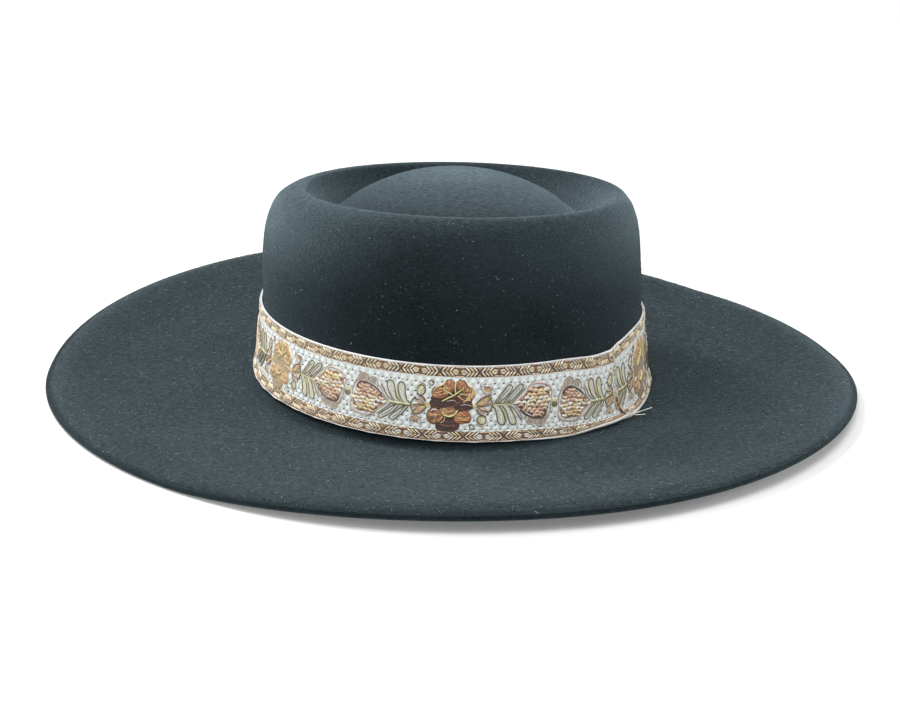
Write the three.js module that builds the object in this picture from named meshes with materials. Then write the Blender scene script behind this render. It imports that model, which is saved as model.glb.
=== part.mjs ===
// A wide-brimmed black felt hat with a telescope crown: a flat-topped oval crown with a raised rim,
// a sunken channel inside the rim and a dome in the middle, and a woven ribbon round its base.
// Millimetres, +Z up. The front of the hat faces -Y and the wearer's left side is +X.
// The hat rests on its brim on the plane Z = 0, and the origin is under the middle of the brim.
import * as THREE from "three";
import { mergeVertices } from "three/addons/utils/BufferGeometryUtils.js";

// Head and brim, the driving sizes
const FOOT_WIDE = 86.2; // half the width of the felt's outside at the foot of the crown
const FOOT_LONG = 101.7;
const BRIM_WIDE = 176.8; // half the width of the brim, out to the raw edge
const BRIM_LONG = 194.3;
const CROWN_SHIFT = new THREE.Vector2(0.4, -2.2); // the crown is a little forward on the brim
const CROWN_THICKNESS = 2.5; // of the felt, which is a little thicker out on the brim
const BRIM_THICKNESS = 3.0;

// The raw edge of the brim is not quite flat. Its underside is the sum of these waves, with angles from the
// front towards +X, and is pressed flat on the floor where they would go below it.
const EDGE_WAVES = [
  { waves: 0, cosine: 3.5, sine: 0 },
  { waves: 1, cosine: -1.0, sine: 0.3 },
  { waves: 2, cosine: 2.9, sine: 3.55 },
  { waves: 3, cosine: -0.2, sine: -0.9 },
  { waves: 4, cosine: 0.45, sine: -0.5 },
];
const BRIM_TOP_AT_CROWN = 4.0;
const BREAK_LENGTH = 2.8; // along the felt, from the foot to the middle of the bend

// Ribbon: it lies round the foot of the crown, and its cut end laps over its start at the wearer's left
const RIBBON_WIDTH = 30.8;
const RIBBON_THICKNESS = 0.9;
const RIBBON_GAP = 0.35; // between the ribbon and the felt, and between its two layers
const LAP_ANGLE = THREE.MathUtils.degToRad(54.3);
const LAP_LENGTH = THREE.MathUtils.degToRad(9);
const LAP_SLANT = THREE.MathUtils.degToRad(4.4); // the cut end leans, further back at its lower edge
const LAP_REACH = THREE.MathUtils.degToRad(38); // how far to both sides of the lap the ribbon sags
const LAP_SAG_LOW = 3.6; // at the lower edge, which rides out on the bend of the brim
const LAP_SAG_TOP_OVER = 1.5; // at the upper edge of the cut end, and of the layer under it
const LAP_SAG_TOP_UNDER = 0.4;
const LAP_TUCK = 1.4; // how far the hidden start keeps inside both edges of the cut end over it
const LAP_RISE = 2.4; // of the upper edge just behind the lap
const LAP_RISE_REACH = THREE.MathUtils.degToRad(60);

// Mesh fineness
const SEGMENTS = 64; // round the hat
const ROWS_PER_SECTION = 2;
const RIBBON_ROWS = 3;

// Crown sections from the middle of the dome to the foot. wide and long are the half axes of the outer
// surface's oval, offset moves it towards +X and z is its height in the middle. pitch and roll
// are the rise per millimetre of Y and of X. The mesh has 2 rows from each section to the next, or steps.
const CROWN_SECTIONS = [
  { name: "dome_top", wide: 0, long: 0, offset: 0, z: 95.8, pitch: 0, roll: 0 },
  { name: "dome_upper", wide: 22, long: 27, offset: 0, z: 93.3, pitch: -0.08, roll: 0 },
  { name: "dome_middle", wide: 40, long: 48.5, offset: 0, z: 86.3, pitch: -0.1, roll: 0 },
  { name: "dome_foot", wide: 54, long: 65, offset: 0, z: 76.3, pitch: -0.108, roll: 0 },
  { name: "channel", wide: 59.2, long: 70.9, offset: 0.8, z: 72.6, pitch: -0.108, roll: 0 },
  { name: "rim_inside", wide: 64, long: 76.3, offset: 1.4, z: 79.5, pitch: -0.108, roll: 0 },
  { name: "rim_crest", wide: 68.4, long: 82.1, offset: 2.2, z: 88, pitch: -0.108, roll: 0 },
  { name: "shoulder", wide: 75.9, long: 88.9, offset: -0.7, z: 83.8, pitch: -0.106, roll: 0 },
  { name: "wall_top", wide: 80, long: 93.9, offset: -1.4, z: 74.5, pitch: -0.096, roll: 0 },
  { name: "wall_middle", wide: 82, long: 96.1, offset: -1.5, z: 57, pitch: -0.06, roll: -0.01 },
  { name: "ribbon_top", wide: 82.4, long: 97.8, offset: -0.8, z: 36.9, pitch: -0.02, roll: -0.02, steps: 3 },
  { name: "foot", wide: FOOT_WIDE, long: FOOT_LONG, offset: 0, z: 6.1, pitch: -0.01, roll: -0.022 },
];

// Brim sections from the foot to the raw edge. share is how far out the section lies, follow is how much
// of the raw edge's rise and fall it takes, and lift is its height above the sheet so described.
// thickness is the felt's, and the raw edge is curled down a little and pressed full.
const BRIM_SECTIONS = [
  { name: "break", share: 0.025, follow: 0, lift: 0.45, thickness: 2.6 },
  { name: "brim_root", share: 0.085, follow: 0.02, lift: 0, thickness: 2.8 },
  { name: "brim_inner", share: 0.33, follow: 0.2, lift: 0.4, thickness: 3 },
  { name: "brim_middle", share: 0.64, follow: 0.55, lift: 1.1, thickness: 3 },
  { name: "brim_outer", share: 0.84, follow: 0.88, lift: 1.6, thickness: 3, steps: 1 },
  { name: "lip_ridge", share: 0.905, follow: 1, lift: 1.3, thickness: 3.2, steps: 1 },
  { name: "lip", share: 0.95, follow: 1, lift: 0.5, thickness: 3.7, steps: 1 },
  { name: "edge", share: 0.986, follow: 1, lift: -0.7, thickness: 3.2, steps: 0 },
];

const CLOTH = {
  felt: new THREE.MeshStandardMaterial({ color: 0x2b3438, roughness: 0.95, metalness: 0 }),
  ribbon: new THREE.MeshStandardMaterial({ color: 0xc9bfae, roughness: 0.7, metalness: 0 }),
};

function edgeRise(angle) {
  let rise = 0;
  for (const { waves, cosine, sine } of EDGE_WAVES) {
    rise += cosine * Math.cos(waves * angle) + sine * Math.sin(waves * angle);
  }
  return Math.max(0, rise);
}

// A point on an oval: angle 0 is the front, and a quarter turn is the wearer's left side
function ovalPoint(halfWidth, halfLength, angle) {
  return new THREE.Vector2(halfWidth * Math.sin(angle), -halfLength * Math.cos(angle));
}

function crownPoint(section, angle) {
  const plan = ovalPoint(section.wide, section.long, angle);
  const z = section.z + section.pitch * plan.y + section.roll * plan.x;
  return new THREE.Vector3(plan.x + CROWN_SHIFT.x + section.offset, plan.y + CROWN_SHIFT.y, z);
}

// The crown's centre is a little off the brim's, and that offset fades out towards the raw edge
function brimPoint(section, angle) {
  const foot = ovalPoint(FOOT_WIDE, FOOT_LONG, angle).add(CROWN_SHIFT);
  const edge = ovalPoint(BRIM_WIDE, BRIM_LONG, angle);
  const plan = foot.lerp(edge, section.share);
  const edgeTop = edgeRise(angle) + BRIM_THICKNESS;
  const z = THREE.MathUtils.lerp(BRIM_TOP_AT_CROWN, edgeTop, section.follow) + section.lift;
  return new THREE.Vector3(plan.x, plan.y, z);
}

// One line of the outer surface, from the middle of the dome out to the raw edge
function meridian(angle) {
  const points = CROWN_SECTIONS.map((section) => crownPoint(section, angle));
  points.push(...BRIM_SECTIONS.map((section) => brimPoint(section, angle)));
  return new THREE.CatmullRomCurve3(points, false, "centripetal");
}

function thicknessAt(u) {
  const crown = CROWN_SECTIONS.map(() => CROWN_THICKNESS);
  const all = [...crown, ...BRIM_SECTIONS.map((section) => section.thickness)];
  const place = u * (all.length - 1);
  const k = Math.min(Math.floor(place), all.length - 2);
  return THREE.MathUtils.lerp(all[k], all[k + 1], place - k);
}

// Curve parameters of the rows of the mesh: each section has its own row and some between
function rowParameters() {
  const sections = [...CROWN_SECTIONS, ...BRIM_SECTIONS];
  const last = sections.length - 1;
  const rows = [];
  sections.forEach((section, k) => {
    const steps = section.steps ?? ROWS_PER_SECTION;
    for (let step = 0; step < steps; step++) rows.push((k + step / steps) / last);
  });
  rows.push(1);
  return rows;
}

const angleOf = (i) => (i / SEGMENTS) * 2 * Math.PI;

// Grid of the felt's outer surface, grid[i][j] at angle i and row j
function outerGrid(rows) {
  return Array.from({ length: SEGMENTS }, (_, i) => {
    const line = meridian(angleOf(i));
    return rows.map((u) => line.getPoint(u));
  });
}

function outwardNormal(grid, i, j) {
  if (j === 0) return new THREE.Vector3(0, 0, 1);
  const next = grid[(i + 1) % SEGMENTS][j];
  const before = grid[(i + SEGMENTS - 1) % SEGMENTS][j];
  const lineEnd = grid[i].length - 1;
  const out = grid[i][Math.min(j + 1, lineEnd)].clone().sub(grid[i][j - 1]);
  return out.cross(next.clone().sub(before)).normalize();
}

// The crown and brim are one felt: the outer surface, a rounded raw edge, and the inside below it
function crownAndBrimGeometry() {
  const rows = rowParameters();
  const grid = outerGrid(rows);
  const closed = grid.map((line, i) => {
    const inside = line.map((point, j) => {
      const under = point.clone().addScaledVector(outwardNormal(grid, i, j), -thicknessAt(rows[j]));
      under.z = Math.max(0, under.z);
      return under;
    });
    const plan = ovalPoint(BRIM_WIDE, BRIM_LONG, angleOf(i));
    const rawEdge = new THREE.Vector3(plan.x, plan.y, (line.at(-1).z + inside.at(-1).z) / 2);
    return [...inside, rawEdge, ...line.toReversed()];
  });
  const count = closed[0].length;
  const outline = closed[0].map((_, j) => new THREE.Vector2(j % (count - 1) ? 1 : 0, j));
  const lathe = new THREE.LatheGeometry(outline, SEGMENTS);
  const position = lathe.getAttribute("position");
  for (let i = 0; i <= SEGMENTS; i++) {
    closed[i % SEGMENTS].forEach((point, j) => position.setXYZ(i * count + j, point.x, point.y, point.z));
  }
  return welded(lathe);
}

// Only the positions are kept, with the corners that meet made one
function welded(geometry) {
  geometry.deleteAttribute("normal");
  geometry.deleteAttribute("uv");
  return mergeVertices(geometry, 1e-4);
}

// A point of the crown's outer surface, so many millimetres above its foot or, below it, out on the brim
function wallPoint(angle, rise) {
  const foot = CROWN_SECTIONS.length - 1;
  const last = CROWN_SECTIONS.length + BRIM_SECTIONS.length - 1;
  const sectionLength = rise > 0 ? RIBBON_WIDTH : BREAK_LENGTH;
  return meridian(angle).getPoint((foot - rise / sectionLength) / last);
}

function wallNormal(angle, rise) {
  const up = wallPoint(angle, rise + 0.3).sub(wallPoint(angle, rise - 0.3));
  const along = wallPoint(angle + 0.01, rise).sub(wallPoint(angle - 0.01, rise));
  return along.cross(up).normalize();
}

// Grows from 0 at the lap to 1 a little behind it, and fades out again
function behindLap(travelled) {
  const past = travelled - LAP_LENGTH;
  const near = THREE.MathUtils.smoothstep(past, 0, 0.25 * LAP_RISE_REACH);
  return near * (1 - THREE.MathUtils.smoothstep(past, 0.4 * LAP_RISE_REACH, LAP_RISE_REACH));
}

// The ribbon is a flat strip bent round the wall. It starts under the lap, goes once round the back and
// the front, and its cut end lies over its start, a layer further out and sagging a little.
function ribbonGeometry() {
  const turn = 2 * Math.PI + LAP_LENGTH;
  const columns = Math.round((turn / (2 * Math.PI)) * SEGMENTS);
  const strip = new THREE.BoxGeometry(1, 1, 1, columns, RIBBON_ROWS, 1);
  const position = strip.getAttribute("position");
  const start = LAP_ANGLE - LAP_LENGTH;
  for (let n = 0; n < position.count; n++) {
    const along = position.getX(n) + 0.5;
    const share = position.getY(n) + 0.5;
    const layer = position.getZ(n) + 0.5;
    const travelled = along * turn;
    const lean = THREE.MathUtils.smoothstep(travelled, turn - LAP_LENGTH, turn) * LAP_SLANT * (0.5 - share);
    const over = THREE.MathUtils.smoothstep(travelled, turn - 2.5 * LAP_LENGTH, turn - LAP_LENGTH);
    const angle = start + travelled + lean;
    const fromLap = Math.min(Math.abs(angle - LAP_ANGLE), Math.abs(angle - LAP_ANGLE - 2 * Math.PI));
    const sag = 1 - THREE.MathUtils.smoothstep(fromLap, 0, LAP_REACH);
    const tuck = LAP_TUCK * (1 - THREE.MathUtils.smoothstep(travelled, 0.8 * LAP_LENGTH, 1.4 * LAP_LENGTH));
    const low = tuck - LAP_SAG_LOW * sag;
    const topSag = THREE.MathUtils.lerp(LAP_SAG_TOP_UNDER, LAP_SAG_TOP_OVER, over) * sag;
    const high = RIBBON_WIDTH - topSag - tuck + LAP_RISE * behindLap(travelled);
    const rise = THREE.MathUtils.lerp(low, high, share);
    const offset = RIBBON_GAP + layer * RIBBON_THICKNESS + over * (RIBBON_THICKNESS + RIBBON_GAP);
    const point = wallPoint(angle, rise).addScaledVector(wallNormal(angle, rise), offset);
    position.setXYZ(n, point.x, point.y, point.z);
  }
  return welded(strip);
}

function namedMesh(name, geometry, material) {
  const mesh = new THREE.Mesh(geometry, material);
  mesh.name = name;
  return mesh;
}

const hat = new THREE.Group();
hat.name = "felt_hat";
hat.add(namedMesh("crown_and_brim", crownAndBrimGeometry(), CLOTH.felt));
hat.add(namedMesh("ribbon_band", ribbonGeometry(), CLOTH.ribbon));

export default hat;
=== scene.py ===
import itertools
import math

import bpy
import numpy as np
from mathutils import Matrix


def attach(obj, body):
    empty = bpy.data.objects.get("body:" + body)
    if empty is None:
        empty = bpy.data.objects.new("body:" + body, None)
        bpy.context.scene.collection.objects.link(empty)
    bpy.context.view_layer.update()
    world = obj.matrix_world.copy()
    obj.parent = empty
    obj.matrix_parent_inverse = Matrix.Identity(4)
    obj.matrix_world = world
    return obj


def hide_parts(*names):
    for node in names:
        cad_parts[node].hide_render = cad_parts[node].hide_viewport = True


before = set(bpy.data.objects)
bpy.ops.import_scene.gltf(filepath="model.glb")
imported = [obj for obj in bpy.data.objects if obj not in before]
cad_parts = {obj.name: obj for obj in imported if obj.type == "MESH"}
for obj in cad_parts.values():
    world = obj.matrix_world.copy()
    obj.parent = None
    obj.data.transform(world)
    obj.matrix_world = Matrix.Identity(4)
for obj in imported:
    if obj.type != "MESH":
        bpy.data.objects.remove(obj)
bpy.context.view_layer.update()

# Sizes in millimetres, as in the CAD part. Angle 0 is the front, and 90 degrees is the wearer's left, +X.
FOOT = (86.2, 101.7)
BRIM = (176.8, 194.3)
SHIFT = (0.4, -2.2)
BRIM_TOP = 4.0
BRIM_THICKNESS = 3.0
CROWN_THICKNESS = 2.5
BREAK_LENGTH = 2.8
RIBBON_WIDTH = 30.8
RIBBON_THICKNESS = 0.9
RIBBON_GAP = 0.35
LAP_ANGLE = math.radians(54.3)
LAP_LENGTH = math.radians(9)
LAP_REACH = math.radians(38)
LAP_SAG_LOW = 3.6
LAP_SAG_TOP_OVER = 1.5
LAP_SAG_TOP_UNDER = 0.4
LAP_TUCK = 1.4
LAP_RISE = 2.4
LAP_RISE_REACH = math.radians(60)

# waves, cosine, sine
EDGE_WAVES = (
    (0, 3.5, 0),
    (1, -1, 0.3),
    (2, 2.9, 3.55),
    (3, -0.2, -0.9),
    (4, 0.45, -0.5),
)

# wide, long, offset, z, pitch, roll
CROWN_SECTIONS = (
    (0, 0, 0, 95.8, 0, 0),
    (22, 27, 0, 93.3, -0.08, 0),
    (40, 48.5, 0, 86.3, -0.1, 0),
    (54, 65, 0, 76.3, -0.108, 0),
    (59.2, 70.9, 0.8, 72.6, -0.108, 0),
    (64, 76.3, 1.4, 79.5, -0.108, 0),
    (68.4, 82.1, 2.2, 88, -0.108, 0),
    (75.9, 88.9, -0.7, 83.8, -0.106, 0),
    (80, 93.9, -1.4, 74.5, -0.096, 0),
    (82, 96.1, -1.5, 57, -0.06, -0.01),
    (82.4, 97.8, -0.8, 36.9, -0.02, -0.02),
    (86.2, 101.7, 0, 6.1, -0.01, -0.022),
)

# share, follow, lift, thickness
BRIM_SECTIONS = (
    (0.025, 0, 0.45, 2.6),
    (0.085, 0.02, 0, 2.8),
    (0.33, 0.2, 0.4, 3),
    (0.64, 0.55, 1.1, 3),
    (0.84, 0.88, 1.6, 3),
    (0.905, 1, 1.3, 3.2),
    (0.95, 1, 0.5, 3.7),
    (0.986, 1, -0.7, 3.2),
)
LAST = len(CROWN_SECTIONS) + len(BRIM_SECTIONS) - 1
FOOT_PLACE = len(CROWN_SECTIONS) - 1


# The felt's outer surface

def smoothstep(x, low, high):
    w = np.clip((x - low) / (high - low), 0, 1)
    return w * w * (3 - 2 * w)


def edge_rise(t):
    return np.maximum(0, sum(c * np.cos(k * t) + s * np.sin(k * t) for k, c, s in EDGE_WAVES))


def section_points(t):
    """The points of every section at the angles t, in an array (..., sections, 3)."""
    sine = np.sin(t)
    cosine = np.cos(t)
    points = []
    for wide, long, offset, z, pitch, roll in CROWN_SECTIONS:
        x = wide * sine
        y = -long * cosine
        points.append(np.stack([x + SHIFT[0] + offset, y + SHIFT[1], z + pitch * y + roll * x], -1))
    foot = np.stack([FOOT[0] * sine + SHIFT[0], -FOOT[1] * cosine + SHIFT[1]], -1)
    edge = np.stack([BRIM[0] * sine, -BRIM[1] * cosine], -1)
    top = edge_rise(t) + BRIM_THICKNESS
    for share, follow, lift, _ in BRIM_SECTIONS:
        plan = foot + (edge - foot) * share
        z = BRIM_TOP + (top - BRIM_TOP) * follow + lift
        points.append(np.concatenate([plan, z[..., None]], -1))
    return np.stack(points, -2)


def meridian(t, place):
    """Points at the angles t and the places along the outline, counted in sections from the dome's middle."""
    t, place = np.broadcast_arrays(np.asarray(t, float), np.asarray(place, float))
    points = section_points(t)
    k = np.clip(np.floor(place).astype(int), 0, LAST - 1)
    w = (place - k)[..., None]

    def at(i):
        inside = np.take_along_axis(points, np.clip(i, 0, LAST)[..., None, None], axis=-2)[..., 0, :]
        before = 2 * points[..., 0, :] - points[..., 1, :]
        after = 2 * points[..., LAST, :] - points[..., LAST - 1, :]
        return np.where((i < 0)[..., None], before, np.where((i > LAST)[..., None], after, inside))

    def knot(a, b):
        return ((a - b) ** 2).sum(-1, keepdims=True) ** 0.25

    p0, p1, p2, p3 = at(k - 1), at(k), at(k + 1), at(k + 2)
    d0, d1, d2 = knot(p0, p1), knot(p1, p2), knot(p2, p3)
    m1 = ((p1 - p0) / d0 - (p2 - p0) / (d0 + d1) + (p2 - p1) / d1) * d1
    m2 = ((p2 - p1) / d1 - (p3 - p1) / (d1 + d2) + (p3 - p2) / d2) * d1
    cubic = 2 * p1 - 2 * p2 + m1 + m2
    square = -3 * p1 + 3 * p2 - 2 * m1 - m2
    return p1 + m1 * w + square * w ** 2 + cubic * w ** 3


def unit(v):
    return v / np.maximum(np.linalg.norm(v, axis=-1, keepdims=True), 1e-9)


def surface_normal(t, place):
    along = meridian(t + 0.004, place) - meridian(t - 0.004, place)
    out = meridian(t, np.minimum(place + 0.02, LAST)) - meridian(t, np.maximum(place - 0.02, 0))
    n = np.cross(out, along)
    top = np.broadcast_to(np.asarray(place), n.shape[:-1]) < 0.02
    n[top] = (0, 0, 1)
    return unit(n)


def felt_thickness(place):
    table = [CROWN_THICKNESS] * len(CROWN_SECTIONS) + [row[3] for row in BRIM_SECTIONS]
    return np.interp(place, np.arange(LAST + 1), table)


def wall(t, rise):
    """The felt's surface so many millimetres above the crown's foot or, below it, out on the brim."""
    rise = np.asarray(rise, float)
    return meridian(t, FOOT_PLACE - rise / np.where(rise > 0, RIBBON_WIDTH, BREAK_LENGTH))


def wall_normal(t, rise):
    up = wall(t, rise + 0.3) - wall(t, rise - 0.3)
    along = wall(t + 0.01, rise) - wall(t - 0.01, rise)
    return unit(np.cross(along, up))


# Thread colours as they look in daylight, 0 to 255

CREAM = (232, 222, 202)
WHITE_CORD = (255, 252, 246)
BORDER_GROUND = (128, 98, 74)
GROUND = (208, 211, 207)
COPPER = (154, 108, 78)
RUST = (158, 98, 68)
LIGHT_COPPER = (192, 142, 98)
BROWN = (106, 74, 58)
DARK_BROWN = (70, 51, 44)
PLUM = (82, 60, 62)
GOLD = (208, 178, 126)
BRIGHT_GOLD = (240, 214, 146)
TAN = (184, 158, 128)
KNOT_GOLD = (216, 192, 150)
KNOT_PINK = (206, 178, 156)
OLIVE = (104, 96, 58)
LEAF_LINE = (94, 94, 68)
LEAF = (220, 224, 210)
LEAF_GOLD = (206, 206, 160)
PINK = (184, 150, 130)
LILAC = (186, 168, 162)
LILAC_GREY = (160, 152, 144)
SLATE = (82, 88, 94)
# A pale gold mixed into the threads as painted sheen round the strip's sides
PAINTED_SHEEN_GOLD = (218, 192, 152)
THREAD_GAIN = 1.35
STRIP_WIDTH = 31.0

# The repeat is 91 mm long, and is stretched a little where the strip goes round the back
REPEAT = 91.0
REPEAT_BEHIND = 94.5
MIDDLE = 16.3

# Small dots on the woven ground: the step along a row, the rows' distance and the first row's height
DOT_STEP = 3.64
DOT_ROW = 1.86
DOT_FIRST = 7.6

# The borders' own repeat, how far they are shifted apart, and where the repeats lie along the strip
BORDER_STEP = REPEAT / 5.5
BORDER_STAGGER = 3.6
CELLS = np.arange(-6, 2) * REPEAT
EDGE_CELLS = np.arange(-7, 2) * REPEAT


def thread_colour(rgb, gain=1.0):
    share = np.asarray(rgb, float) / 255
    linear = np.where(share <= 0.04045, share / 12.92, ((share + 0.055) / 1.055) ** 2.4)
    return tuple(np.clip(linear * THREAD_GAIN * gain, 0, 0.92).tolist())


# Mesh helpers

def new_object(name, points, faces, material, smooth=True):
    """A mesh object from points in millimetres."""
    mesh = bpy.data.meshes.new(name)
    mesh.from_pydata((np.asarray(points) * 0.001).tolist(), [], [list(f) for f in faces])
    mesh.materials.append(material)
    mesh.update()
    if smooth:
        mesh.polygons.foreach_set("use_smooth", np.ones(len(mesh.polygons), bool))
    obj = bpy.data.objects.new(name, mesh)
    bpy.context.scene.collection.objects.link(obj)
    return obj


def colour_points(obj, layer, colours):
    """Gives the mesh a colour layer with one colour for each point."""
    rgba = np.hstack([colours, np.ones((len(colours), 1))])
    data = obj.data.color_attributes.new(layer, "FLOAT_COLOR", "POINT").data
    data.foreach_set("color", rgba.astype(np.float32).ravel())


def grid_faces(rows, columns, wrap):
    """Quads of a grid whose point (i, j) is number i * columns + j. wrap joins the last row to the first."""
    i, j = np.meshgrid(np.arange(rows if wrap else rows - 1), np.arange(columns - 1), indexing="ij")
    k = (i + 1) % rows
    quads = np.stack([i * columns + j, k * columns + j, k * columns + j + 1, i * columns + j + 1], -1)
    return quads.reshape(-1, 4)


# Materials

class Graph:
    """Adds shader nodes to a tree. An input is given by its name or number, and is a value or another node's
    output."""

    def __init__(self, tree):
        self.tree = tree

    def set(self, node, inputs):
        for socket, value in inputs.items():
            if isinstance(value, bpy.types.NodeSocket):
                self.tree.links.new(value, node.inputs[socket])
            else:
                node.inputs[socket].default_value = value

    def add(self, kind, inputs=None, output=0, **settings):
        """Adds a node and returns one of its outputs."""
        node = self.tree.nodes.new("ShaderNode" + kind)
        for key, value in settings.items():
            setattr(node, key, value)
        self.set(node, inputs or {})
        return node.outputs[output]

    def math(self, operation, *values):
        return self.add("Math", dict(enumerate(values)), operation=operation)

    def noise(self, place, scale, detail=2, roughness=0.5):
        inputs = {"Vector": place, "Scale": scale, "Detail": detail, "Roughness": roughness}
        return self.add("TexNoise", inputs, "Fac")

    def ramp(self, height, tones, interpolation="LINEAR"):
        """tones are pairs, a position from 0 to 1 and the colour there."""
        node = self.tree.nodes.new("ShaderNodeValToRGB")
        ramp = node.color_ramp
        ramp.interpolation = interpolation
        for position, _ in tones[2:]:
            ramp.elements.new(position)
        for element, (position, colour) in zip(ramp.elements, tones):
            element.position = position
            element.color = (*colour, 1)
        self.set(node, {"Fac": height})
        return node.outputs["Color"]

    def multiply(self, colour, by, share):
        """The colour times another one, as far as share says."""
        inputs = {"Factor": share, "A": colour, "B": (*by, 1)}
        return self.add("Mix", inputs, "Result", data_type="RGBA", blend_type="MULTIPLY")

    def bump(self, height, strength, distance):
        return self.add("Bump", {"Height": height, "Strength": strength, "Distance": distance})


def shade(name, shader_inputs):
    """A material. shader_inputs takes its graph and returns what goes into the Principled shader."""
    material = bpy.data.materials.new(name)
    material.use_nodes = True
    graph = Graph(material.node_tree)
    graph.set(material.node_tree.nodes["Principled BSDF"], shader_inputs(graph))
    return material


def felt(graph):
    """Napped wool felt: a matt cloudy tone with a fine grain, and a pale sheen in combed streaks whose
    strength, read from the mesh, holds painted light and shade.
    """
    place = graph.add("TexCoord", output="Object")
    cloud = graph.noise(place, 26, 4, 0.6)
    grain = graph.noise(place, 1100, 3, 0.6)
    fine = graph.noise(place, 2600, 2, 0.6)
    combed = graph.add("Mapping", {"Vector": place, "Scale": (420, 1100, 1500)})
    spread = {"From Min": 0.3, "From Max": 0.7, "To Min": 0.62, "To Max": 1.38}
    streaks = graph.add("MapRange", {"Value": graph.noise(combed, 1, 3), **spread})
    # Sheen strength by place from the mesh: painted light round the crown's top, painted shade low on its
    # wall and at the brim's lip
    sheen_painted_by_place = graph.add("VertexColor", layer_name="sheen_painted_by_place")
    return {
        "Base Color": graph.ramp(graph.math("MULTIPLY_ADD", grain, 0.9, cloud), FELT_TONES),
        "Normal": graph.bump(graph.math("ADD", grain, fine), 0.8, 0.0002),
        "Roughness": 0.95,
        "Specular IOR Level": 0.06,
        "Sheen Weight": graph.math("MULTIPLY", sheen_painted_by_place, streaks),
        "Sheen Roughness": 0.6,
        "Sheen Tint": (0.63, 0.85, 0.95, 1),
    }


def hair(colour):
    """Loose fibres, of one colour with a little variation along them."""
    tones = [(position, tuple(c * gain for c in colour)) for position, gain in ((0.3, 0.55), (0.7, 1.25))]

    def inputs(graph):
        place = graph.add("TexCoord", output="Object")
        return {"Base Color": graph.ramp(graph.noise(place, 700), tones), "Roughness": 0.8}

    return inputs


def woven_ground(graph):
    """The ribbon's ground, quilted between its dots. Its UV map is in millimetres, along the strip and up."""
    place = graph.add("UVMap", uv_map="strip")
    up = graph.add("SeparateXYZ", {"Vector": place}, "Y")
    bands = [(v / STRIP_WIDTH, thread_colour(colour)) for v, colour in GROUND_BANDS]
    tone = graph.ramp(graph.math("DIVIDE", up, STRIP_WIDTH), bands, "CONSTANT")
    waves = []
    for sign in (1, -1):
        slope = (2 * math.pi / DOT_STEP, sign * math.pi / DOT_ROW, 0)
        phase = math.pi * (REPEAT / DOT_STEP + 1) - sign * math.pi * DOT_FIRST / DOT_ROW
        dot = graph.add("VectorMath", {0: place, 1: slope}, "Value", operation="DOT_PRODUCT")
        waves.append(graph.math("COSINE", graph.math("ADD", dot, phase)))
    height = graph.math("MULTIPLY_ADD", graph.noise(place, 1.8, 3), 2.2, graph.math("ADD", *waves))
    return {
        "Base Color": graph.multiply(tone, (0.82, 0.86, 0.88), graph.noise(place, 0.35, 4)),
        "Normal": graph.bump(height, 0.5, 0.00022),
        "Roughness": 0.62,
        "Sheen Weight": 0.25,
        "Sheen Roughness": 0.4,
    }


def silk(graph):
    """Silky raised threads, each with its own colour from the mesh."""
    colour = graph.add("VertexColor", layer_name="thread")
    fleck = graph.noise(graph.add("TexCoord", output="Object"), 1600)
    return {
        "Base Color": graph.multiply(colour, (0.55, 0.52, 0.5), fleck),
        "Normal": graph.bump(fleck, 0.5, 0.0001),
        "Roughness": 0.42,
        "Sheen Weight": 0.15,
    }


FELT_TONES = ((0.7, (0.0004, 0.001, 0.0014)), (1.0, (0.0048, 0.0084, 0.0098)))
# Where each band of the ground starts, in millimetres up from the strip's lower edge
GROUND_BANDS = ((0, CREAM), (0.6, BORDER_GROUND), (6.5, GROUND), (26.5, BORDER_GROUND), (30.2, WHITE_CORD))
FELT = shade("felt", felt)
HAIR = shade("nap_fibres", hair((0.085, 0.115, 0.125)))
DARK_HAIR = shade("crown_fibres", hair((0.034, 0.05, 0.06)))
LINT = shade("lint", hair((0.26, 0.32, 0.335)))
RIBBON = shade("ribbon_ground", woven_ground)
THREADS = shade("raised_threads", silk)


# The felt body: outer surface, a rounded raw edge and the inside

# The felt's sheen strength with light and shade painted in: painted light round the crown's top, in its
# channel
# and on a ridge near the brim's edge, painted shade low on the crown's wall and at the brim's lip:
# the place along the meridian, counted in sections from the crown's centre, and the sheen there
FELT_SHEEN_PAINTED_BY_PLACE = (
    (0, 0.42), (1.5, 0.3), (2.5, 0.29), (4, 0.5), (5.0, 0.5), (6, 0.33), (7, 0.33), (8, 0.31), (8.6, 0.22),
    (9, 0.15), (9.6, 0.12), (11, 0.1), (11.5, 0.18), (16, 0.18), (17.4, 0.22), (18.3, 0.24), (18.8, 0.15),
    (19.2, 0.13), (20, 0.12),
)
FELT_SEGMENTS = 288
CROWN_STEPS = 8
BRIM_STEPS = 7
EDGE_STEPS = 7


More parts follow.
